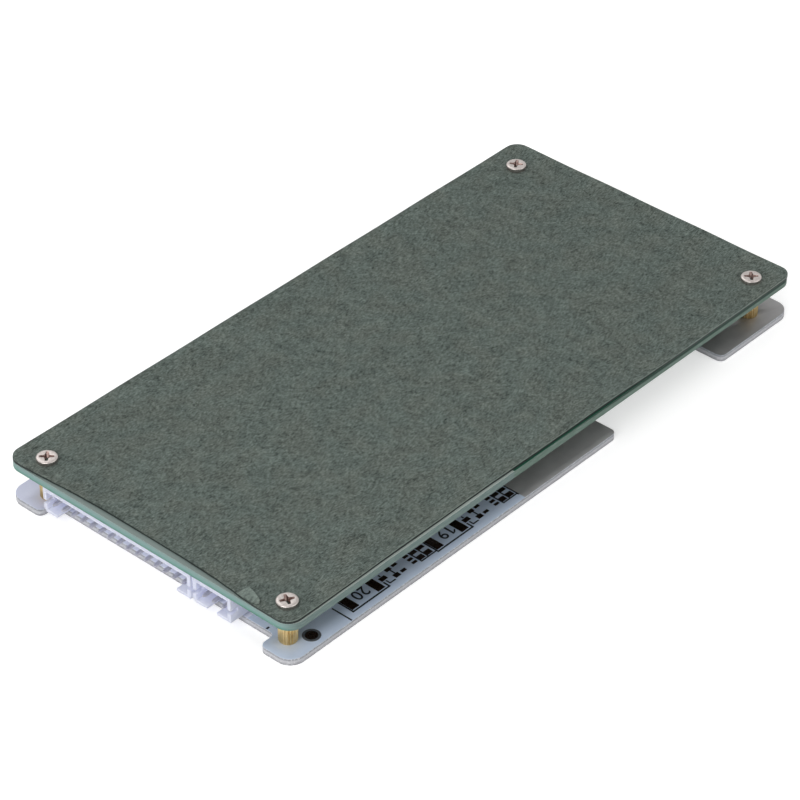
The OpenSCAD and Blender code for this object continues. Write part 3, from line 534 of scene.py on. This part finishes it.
for vertex in flake.data.vertices:
    turn = math.atan2(vertex.co.y, vertex.co.x) / (2 * math.pi) * len(ring) % len(ring)
    first, share = int(turn), turn % 1
    rim = ring[first % len(ring)].lerp(ring[(first + 1) % len(ring)], share)
    out = min(1, math.hypot(vertex.co.x, vertex.co.y))
    spot = middle.lerp(rim, out)
    curl = tornFlake["curl"] * max(0, (spot.x - tornFlake["curlFrom"]) / tornFlake["curlOver"]) * out * out
    ripple = tornFlake["ripple"] * math.sin(spot.y * tornFlake["ripples"])
    vertex.co = (spot.x * mm, spot.y * mm, flakeZ + (tornFlake["clear"] + curl + ripple) * mm)
thicken(flake, tornFlake["thickness"] * mm)
finishPiece(flake, "tornFlake", [tornFishPaper], "fish_paper", smooth=60)
print("sheet done")

screwLook = {"headRadius": 2.15, "recess": 1.75, "recessFrom": 0.06, "recessTo": 1.3}  # mm, the last two down
screwLow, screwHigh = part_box("cover_screws")
screwSpots = [(x, y) for x in (screwLow.x + screwLook["headRadius"] * mm, screwHigh.x - screwLook["headRadius"] * mm)
              for y in (screwLow.y + screwLook["headRadius"] * mm, screwHigh.y - screwLook["headRadius"] * mm)]


def recessPick(spot, normal):  # the faces inside the cross recess get the painted recess shade
    out = min(math.hypot(spot.x - x, spot.y - y) for x, y in screwSpots) / mm
    isDeep = screwHigh.z - screwLook["recessTo"] * mm <= spot.z <= screwHigh.z - screwLook["recessFrom"] * mm
    return 1 if out <= screwLook["recess"] and isDeep else 0


finishPiece(edgedCopy("cover_screws", 0.06, 3), "coverScrews", [nickelPlatedSteel, paintedRecessShade],
            "nickel_plated_steel", ["cover_screws"], recessPick, smooth=30)
finishPiece(edgedCopy("base_screws", 0.05), "baseScrews", [nickelPlatedSteel], "nickel_plated_steel",
            ["base_screws"], smooth=30)

standoffLook = {  # coarse flutes, in mm
    "flutes": 20, "radius": 1.9, "depth": 0.24, "bore": 1.31,
    "plain": 0.3, "chamfer": 0.2,  # height of the plain end rings, and how far the ends draw in
    "end": 0.1, "seam": 0.001, "edge": 0.02,
}


def selectEdges(piece, test):  # in edit mode
    mesh = bmesh.from_edit_mesh(piece.data)
    bpy.ops.mesh.select_all(action="DESELECT")
    for edge in mesh.edges:
        if test(edge):
            edge.select_set(True)
    bmesh.update_edit_mesh(piece.data)


def flutedStandoffs():
    low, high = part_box("standoffs")
    radius, flutes = standoffLook["radius"], standoffLook["flutes"]
    bpy.ops.mesh.primitive_cylinder_add(vertices=flutes * 4, radius=radius * mm, depth=high.z - low.z,
                                        end_fill_type="NOTHING", location=(0, 0, (low.z + high.z) / 2))
    first = bpy.context.object
    makeActive(first)
    bpy.ops.object.transform_apply()
    bpy.ops.object.mode_set(mode="EDIT")
    for height in (low.z + standoffLook["plain"] * mm, high.z - standoffLook["plain"] * mm):
        bpy.ops.mesh.select_all(action="SELECT")
        bpy.ops.mesh.bisect(plane_co=(0, 0, height), plane_no=(0, 0, 1))
    bpy.ops.object.mode_set(mode="OBJECT")
    for vertex in first.data.vertices:
        angle = math.atan2(vertex.co.y, vertex.co.x)
        isGroove = math.degrees(angle) % (360 / flutes) > 180 / flutes
        isEnd = min(vertex.co.z - low.z, high.z - vertex.co.z) < standoffLook["end"] * mm
        out = radius - (standoffLook["chamfer"] if isEnd else standoffLook["depth"] if isGroove else 0)
        vertex.co.x, vertex.co.y = out * mm * math.cos(angle), out * mm * math.sin(angle)
    bpy.ops.object.mode_set(mode="EDIT")
    share = standoffLook["bore"] / (radius - standoffLook["chamfer"])
    for height in (low.z, high.z):  # each end is closed down to the bore
        selectEdges(first, lambda edge: all(abs(vertex.co.z - height) < meshRules["touch"] * mm
                                            for vertex in edge.verts))
        bpy.ops.mesh.extrude_region_move()
        bpy.ops.transform.resize(value=(share, share, 1), center_override=(0, 0, height))
    selectEdges(first, lambda edge: edge.is_boundary)
    bpy.ops.mesh.bridge_edge_loops()
    bpy.ops.mesh.select_all(action="SELECT")
    bpy.ops.mesh.remove_doubles(threshold=standoffLook["seam"] * mm)
    bpy.ops.mesh.normals_make_consistent()
    bpy.ops.object.mode_set(mode="OBJECT")
    bevelEdges(first, standoffLook["edge"] * mm, 1, 25)
    posts = []
    for x, y in screwSpots:
        post = bpy.data.objects.new("post", first.data.copy())
        bpy.context.scene.collection.objects.link(post)
        post.location = (x, y, 0)
        posts.append(post)
    bpy.data.objects.remove(first)
    makeActive(posts[0])
    for post in posts:
        post.select_set(True)
    bpy.ops.object.transform_apply()
    bpy.ops.object.join()
    return posts[0]


finishPiece(flutedStandoffs(), "standoffSet", [knurledBrass], "knurled_brass", ["standoffs"], smooth=25)
print("screws and standoffs done")

for header in ("cell", "sensor"):
    finishPiece(edgedCopy(header + "_header", 0.12, 3), header + "Housing", [mouldedNylon], "white_nylon",
                [header + "_header"], smooth=30)
    finishPiece(edgedCopy(header + "_header_pins", 0.05), header + "Pins", [tinnedPin], "tinned_pin",
                [header + "_header_pins"], smooth=30)
for link in ("balance", "power"):
    for part, material, slot, edge in (("strip", glassFilledNylon, "black_nylon", 0.08),
                                       ("socket", glassFilledNylon, "black_nylon", 0.08),
                                       ("pins", gildedPin, "gilt_pin", 0.04)):
        node = link + "_link_" + part
        finishPiece(edgedCopy(node, edge), link + "Link" + part.capitalize(), [material], slot, [node])
print("headers and links done")


def within(node, share):  # faces outside this share of the half box along X or Y are metal
    low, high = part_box(node)
    centre, half = (low + high) / 2, (high - low) / 2
    return lambda spot, normal: 0 if all(abs(spot[i] - centre[i]) <= share[i] * half[i] + meshRules["touch"] * mm
                                         for i in (0, 1)) else 1


def between(start, stop):  # faces outside this stretch of Y are metal
    room = meshRules["touch"] * mm
    return lambda spot, normal: 0 if start - room <= spot.y <= stop + room else 1


def chipPick(node, axis, share):  # top, body, and metal caps past this share of the half box
    low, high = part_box(node)
    centre, half = (low + high) / 2, (high - low) / 2

    def pick(spot, normal):
        if abs(spot[axis] - centre[axis]) > share * half[axis]:
            return 2
        return 0 if normal.z > 0.5 else 1
    return pick


partLook = {  # mm; for each chip its body's share of the box along X and Y, and its edge
    "tabLeads": 4.6, "tabBody": 8.9, "tabEdge": 0.12,
    "regulatorBody": (1.0, 7.1), "regulatorEdge": 0.06,
    "resistorCap": 0.806, "sensorCap": 0.62, "shuntBody": (1, 0.62),
    "foot": 0.82, "lid": 0.41,  # height of the capacitors' black foot, and of the crystal's ceramic base
    "chips": {"cell_monitor": ((0.778, 0.778), 0.05), "microcontroller": ((0.778, 0.778), 0.05),
              "gate_driver": ((0.65, 1), 0.05), "optocoupler_1": ((0.647, 1), 0.06),
              "optocoupler_2": ((0.647, 1), 0.06), "surge_diode_1": ((0.875, 1), 0.06),
              "surge_diode_2": ((0.875, 1), 0.06)},
}
for number in range(1, 13):  # the first six have their leads towards the near edge
    node = "power_transistor_%d" % number
    low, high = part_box(node)
    start = (low.y + partLook["tabLeads"] * mm if number <= 6
             else high.y - (partLook["tabLeads"] + partLook["tabBody"]) * mm)
    finishPiece(edgedCopy(node, partLook["tabEdge"]), "powerTransistor%d" % number, [epoxyMould, tinnedLead],
                "moulded_package", [node], between(start, start + partLook["tabBody"] * mm))
for node, (share, edge) in partLook["chips"].items():
    name = "".join(word.capitalize() if i else word for i, word in enumerate(node.split("_")))
    finishPiece(edgedCopy(node, edge), name + "Chip", [epoxyMould, tinnedLead], "moulded_package", [node],
                within(node, share))
bodyFrom, bodyTo = (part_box("regulator")[0].y + place * mm for place in partLook["regulatorBody"])
finishPiece(edgedCopy("regulator", partLook["regulatorEdge"]), "voltageRegulator", [epoxyMould, tinnedLead],
            "moulded_package", ["regulator"], between(bodyFrom, bodyTo))
for number in range(1, 15):
    node = "balance_resistor_%d" % number
    finishPiece(edgedCopy(node, 0.05), "balanceResistor%d" % number, [resistorGlaze, aluminaCeramic, tinnedLead],
                "chip_resistor", [node], chipPick(node, 0, partLook["resistorCap"]))
finishPiece(edgedCopy("heat_sensor", 0.04), "heatSensor", [aluminaCeramic, aluminaCeramic, tinnedLead],
            "chip_resistor", ["heat_sensor"], chipPick("heat_sensor", 1, partLook["sensorCap"]))
footZ, lidZ = controlUnder - partLook["foot"] * mm, controlUnder - partLook["lid"] * mm
for number in (1, 2):
    node = "current_shunt_%d" % number
    finishPiece(edgedCopy(node, 0.08), "currentShunt%d" % number, [shuntAlloy, tinnedLead], "shunt_alloy", [node],
                within(node, partLook["shuntBody"]))
    node = "bulk_capacitor_%d" % number
    finishPiece(edgedCopy(node, 0.05), "bulkCapacitor%d" % number, [drawnAluminium, glassFilledNylon],
                "capacitor_can", [node], lambda spot, normal: 1 if spot.z > footZ else 0)
finishPiece(edgedCopy("inductor", 0.15), "filterInductor", [pressedFerrite], "ferrite", ["inductor"])
finishPiece(edgedCopy("crystal", 0.04), "quartzCrystal", [kovarLid, aluminaCeramic], "crystal_can", ["crystal"],
            lambda spot, normal: 1 if spot.z > lidZ else 0)
print("parts between the boards done")

printShape = {  # on the base board's near strip, in mm; shapes are x0, x1, y0, y1
    "ink": 0.02, "pad": 0.035, "inkEdge": 0.005, "padEdge": 0.01,  # heights, and their edges
    "stretch": 1.0115, "inkGrowth": 0.07, "padGrowth": 0.1, "repeat": 23.6,
    "headerLines": [(-58.9, -58.7, -37.4, -32.5), (-71.0, -70.4, -27.6, -27.3)],
    "powerLines": [(-9.97, -9.77, -36.0, -31.5)],
    "lines": [(-56.95, -56.71, -36.0, -31.0), (-56.95, -46.78, -36.12, -35.88), (-47.02, -46.78, -36.0, -34.5),
              (-46.16, -44.7, -35.6, -35.4), (-46.26, -46.06, -35.5, -34.5), (-43.55, -43.35, -34.4, -32.9),
              (-37.55, -37.35, -35.6, -31.5), (-35.6, -35.4, -35.6, -31.5), (-37.5, -33.4, -35.7, -35.5),
              (-46.2, -46.0, -32.9, -32.4)],
    "pads": [(-56.5, -54.8, -35.5, -31.5), (-49.4, -47.65, -35.5, -31.5), (-46.87, -45.4, -34.1, -33.2),
             (-44.2, -43.0, -32.9, -32.2), (-44.2, -43.0, -35.3, -34.4), (-42.3, -41.2, -32.7, -32.1),
             (-42.3, -41.2, -35.1, -34.55), (-39.1, -38.05, -32.7, -32.1), (-39.1, -38.05, -33.9, -33.4),
             (-39.1, -38.05, -35.0, -34.55), (-37.2, -36.0, -33.05, -32.3), (-37.2, -36.0, -35.2, -34.1),
             (-35.4, -33.95, -33.05, -32.3), (-35.4, -33.95, -35.2, -34.1)],
    "numbers": {"20": -52.1, "19": -28.1}, "numberY": -33.25, "numberSize": 3.75, "bold": 0.03,
    "flag": (-26.55, -34.2), "flagHalf": (0.5, 0.16), "flagTurn": 42,  # the small slanted stroke beside a number
    "target": (-67.57, -35.2), "ring": (1.82, 0.02), "dot": (1.26, 0.045), "targetEdge": 0.008,  # radius and height
}


def repeated(rects):  # the same places drawn for two channels
    return [(x0 + shift, x1 + shift, y0, y1) for shift in (0, printShape["repeat"]) for x0, x1, y0, y1 in rects]


def grown(rects, by):
    k = printShape["stretch"]
    return [(x0 * k - by, x1 * k + by, y0 * k - by, y1 * k + by) for x0, x1, y0, y1 in rects]


inkRects = printShape["headerLines"] + repeated(printShape["lines"]) + printShape["powerLines"]
inkPiece = slabs(grown(inkRects, printShape["inkGrowth"]), printShape["ink"], printShape["inkEdge"])
finishPiece(inkPiece, "printLines", [printInk], "aluminium_core_board")
padRects = repeated(printShape["pads"])
padPiece = slabs(grown(padRects, printShape["padGrowth"]), printShape["pad"], printShape["padEdge"])
finishPiece(padPiece, "barePads", [tarnishedPad], "aluminium_core_board")

printScale = printShape["stretch"] * mm
for text, x in printShape["numbers"].items():
    bpy.ops.object.text_add(location=(x * printScale, printShape["numberY"] * printScale, baseTop),
                            rotation=(0, 0, math.pi))
    figure = bpy.context.object
    figure.data.body, figure.data.size = text, printShape["numberSize"] * mm
    figure.data.extrude, figure.data.offset = printShape["ink"] * mm, printShape["bold"] * mm
    figure.data.align_x, figure.data.align_y = "CENTER", "CENTER"
    bpy.ops.object.convert(target="MESH")
    bpy.ops.object.mode_set(mode="EDIT")
    bpy.ops.mesh.select_all(action="SELECT")
    bpy.ops.mesh.remove_doubles(threshold=meshRules["seam"] * mm)
    bpy.ops.mesh.normals_make_consistent()
    bpy.ops.object.mode_set(mode="OBJECT")
    finishPiece(bpy.context.object, "channelNumber" + text, [printInk], "aluminium_core_board")

halfX, halfY = printShape["flagHalf"]
flag = slabs([(-halfX, halfX, -halfY, halfY)], printShape["ink"], printShape["inkEdge"])
flag.location = (printShape["flag"][0] * printScale, printShape["flag"][1] * printScale, 0)
flag.rotation_euler = (0, 0, math.radians(printShape["flagTurn"]))
finishPiece(flag, "channelNumberFlag", [printInk], "aluminium_core_board")

for part, name, material in (("ring", "targetRing", targetRing), ("dot", "targetDot", tarnishedPad)):
    radius, height = printShape[part]
    x, y = printShape["target"]
    bpy.ops.mesh.primitive_cylinder_add(vertices=48, radius=radius * mm, depth=height * mm,
                                        location=(x * mm, y * mm, baseTop + height / 2 * mm))
    disc = bpy.context.object
    bevelEdges(disc, printShape["targetEdge"] * mm, 1)
    finishPiece(disc, name, [material], "aluminium_core_board")
print("print done")

landShape = {  # solder lands under the parts, in mm
    "height": 0.03, "edge": 0.01,
    "tabSide": 0.2, "tabOut": 0.6, "tabIn": 8.0,  # around the transistors' metal tabs
    "leadPitch": 2.54, "leadHalf": 0.7, "leadOut": 0.5, "leadIn": 2.2,
    "resistorOut": 0.5, "resistorIn": 1.0, "resistorSide": 0.15,
    "shuntOut": 0.5, "shuntIn": 3.0,
}
lands = []
for number in range(1, 13):
    low, high = (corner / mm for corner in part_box("power_transistor_%d" % number))
    tabEnd, leadEnd, way = (high.y, low.y, 1) if number <= 6 else (low.y, high.y, -1)
    lands.append((low.x - landShape["tabSide"], high.x + landShape["tabSide"],
                  tabEnd + way * landShape["tabOut"], tabEnd - way * landShape["tabIn"]))
    for step in (-landShape["leadPitch"], landShape["leadPitch"]):
        middle = (low.x + high.x) / 2 + step
        lands.append((middle - landShape["leadHalf"], middle + landShape["leadHalf"],
                      leadEnd - way * landShape["leadOut"], leadEnd + way * landShape["leadIn"]))
for number in range(1, 15):
    low, high = (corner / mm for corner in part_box("balance_resistor_%d" % number))
    sides = (low.y - landShape["resistorSide"], high.y + landShape["resistorSide"])
    lands += [(low.x - landShape["resistorOut"], low.x + landShape["resistorIn"], *sides),
              (high.x - landShape["resistorIn"], high.x + landShape["resistorOut"], *sides)]
for number in (1, 2):
    low, high = (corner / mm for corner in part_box("current_shunt_%d" % number))
    sides = (low.x - landShape["shuntOut"], high.x + landShape["shuntOut"])
    lands += [(*sides, low.y - landShape["shuntOut"], low.y + landShape["shuntIn"]),
              (*sides, high.y - landShape["shuntIn"], high.y + landShape["shuntOut"])]
lands = [(min(a, b), max(a, b), min(c, d), max(c, d)) for a, b, c, d in lands]
finishPiece(slabs(lands, landShape["height"], landShape["edge"]), "baseLands", [solderedPad], "aluminium_core_board")
print("lands done")

stageLook = {
    "floorSize": 6.0, "floorDrop": 0.02,   # m, and mm under the part
    "floorShade": 0.82, "floorGlow": 0.5,  # the floor is near white, and a little brighter where it is seen
    "skyLight": 0.45, "skySeen": 1.0,
    "lamps": {  # place and size in m, power in W
        "key": ((-0.7, -0.15, 0.48), 0.5, 3.0), "front": ((-0.85, -0.12, 0.16), 0.6, 1.3),
        "fill": ((0.3, -0.75, 0.42), 0.6, 1.3), "rim": ((0.06, 0.62, 0.7), 0.6, 1.7),
    },
    "view": {"azimuth": -47.881, "elevation": 36.79, "roll": -0.115, "side": -2.767, "rise": 0.579, "far": 692.66,
             "lens": 153.945, "sensor": 36, "clip": (0.01, 10)},  # degrees, mm, and m for the clipping
}


def seenRays(tree):  # 1 for what the camera sees straight, mirrored or through something, 0 for light
    rays = addNode(tree, "LightPath").outputs
    seen = addNode(tree, "Math", plus, {0: rays["Is Camera Ray"], 1: rays["Is Glossy Ray"]}).outputs[0]
    return addNode(tree, "Math", {"operation": "ADD", "use_clamp": True},
                   {0: seen, 1: rays["Is Transmission Ray"]}).outputs[0]


bpy.ops.mesh.primitive_plane_add(size=stageLook["floorSize"], location=(0, 0, -stageLook["floorDrop"] * mm))
floor = bpy.context.object
floor.name = "floor"
paintedFloor = bpy.data.materials.new("paleFloor")
paintedFloor.use_nodes = True
tree = paintedFloor.node_tree
tree.nodes.clear()
lift = addNode(tree, "Math", times, {0: seenRays(tree), 1: stageLook["floorGlow"]}).outputs[0]
matt = addNode(tree, "BsdfDiffuse", inputs={"Color": [stageLook["floorShade"]] * 3 + [1]}).outputs[0]
shine = addNode(tree, "Emission", inputs={"Color": (1, 1, 1, 1), "Strength": lift}).outputs[0]
both = addNode(tree, "AddShader", inputs={0: matt, 1: shine}).outputs[0]
addNode(tree, "OutputMaterial", inputs={"Surface": both})
floor.data.materials.append(paintedFloor)

world = bpy.data.worlds.new("studio")
bpy.context.scene.world = world
world.use_nodes = True
tree = world.node_tree
tree.nodes.clear()
level = addNode(tree, "MapRange", inputs={"Value": seenRays(tree), "To Min": stageLook["skyLight"],
                                          "To Max": stageLook["skySeen"]}).outputs[0]
sky = addNode(tree, "Background", inputs={"Color": (1, 1, 1, 1), "Strength": level}).outputs[0]
addNode(tree, "OutputWorld", inputs={"Surface": sky})

for name, (place, size, power) in stageLook["lamps"].items():
    bpy.ops.object.light_add(type="AREA", location=place)
    light = bpy.context.object
    light.name, light.data.size, light.data.energy = name, size, power
    light.rotation_euler = (-Vector(place)).to_track_quat("-Z", "Y").to_euler()

view = stageLook["view"]
azimuth, elevation, roll = (math.radians(view[key]) for key in ("azimuth", "elevation", "roll"))
back = Vector((math.sin(azimuth) * math.cos(elevation), -math.cos(azimuth) * math.cos(elevation),
               math.sin(elevation)))
right = Vector((math.cos(azimuth), math.sin(azimuth), 0))
up = back.cross(right)
right, up = right * math.cos(roll) + up * math.sin(roll), up * math.cos(roll) - right * math.sin(roll)
turn = Matrix((right, up, back)).transposed()
bpy.ops.object.camera_add(location=turn @ Vector((view["side"], view["rise"], view["far"])) * mm)
camera = bpy.context.object
camera.rotation_euler = turn.to_euler()
camera.data.lens, camera.data.sensor_width = view["lens"], view["sensor"]
camera.data.clip_start, camera.data.clip_end = view["clip"]
bpy.context.scene.camera = camera
bpy.context.scene.view_settings.view_transform = "Standard"
print("stage done")
